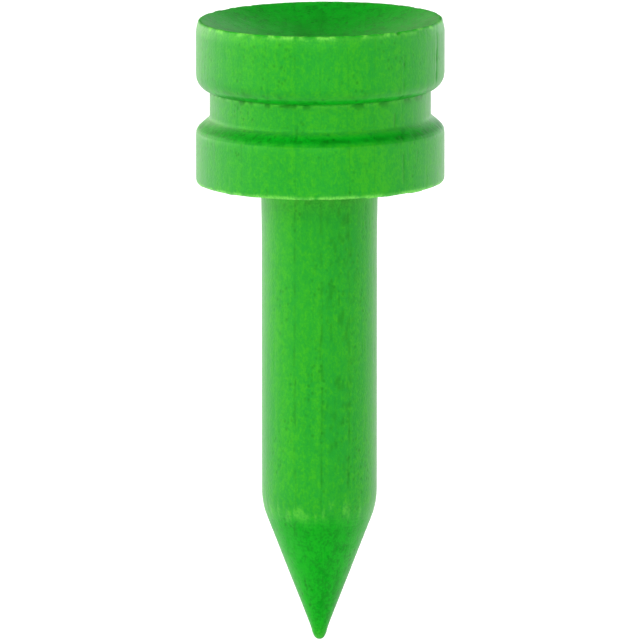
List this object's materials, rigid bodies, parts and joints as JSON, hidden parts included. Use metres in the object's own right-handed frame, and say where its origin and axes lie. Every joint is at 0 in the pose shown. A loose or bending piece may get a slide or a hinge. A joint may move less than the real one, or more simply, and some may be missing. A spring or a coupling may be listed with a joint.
{
  "type": "golf tee",
  "caption": "Short turned wooden golf tee: grooved drum head with a shallow ball dish, flat underside, plain round shank and blunted conical point.",
  "frame": {"origin": "on the tee's axis, in the plane of the head's underside, where the head stops against the turf", "axes": "+Z along the tee's axis, from the point towards the ball dish; X and Y are alike, because the tee is turned"},
  "size_m": [0.0126, 0.0126, 0.0321],
  "materials": {
    "dyed_wood": "matte green dye on bare turned hardwood, grain along the axis, paler on worn edges"
  },
  "bodies": {
    "root": {"tee": "dyed_wood"}
  },
  "joints": []
}
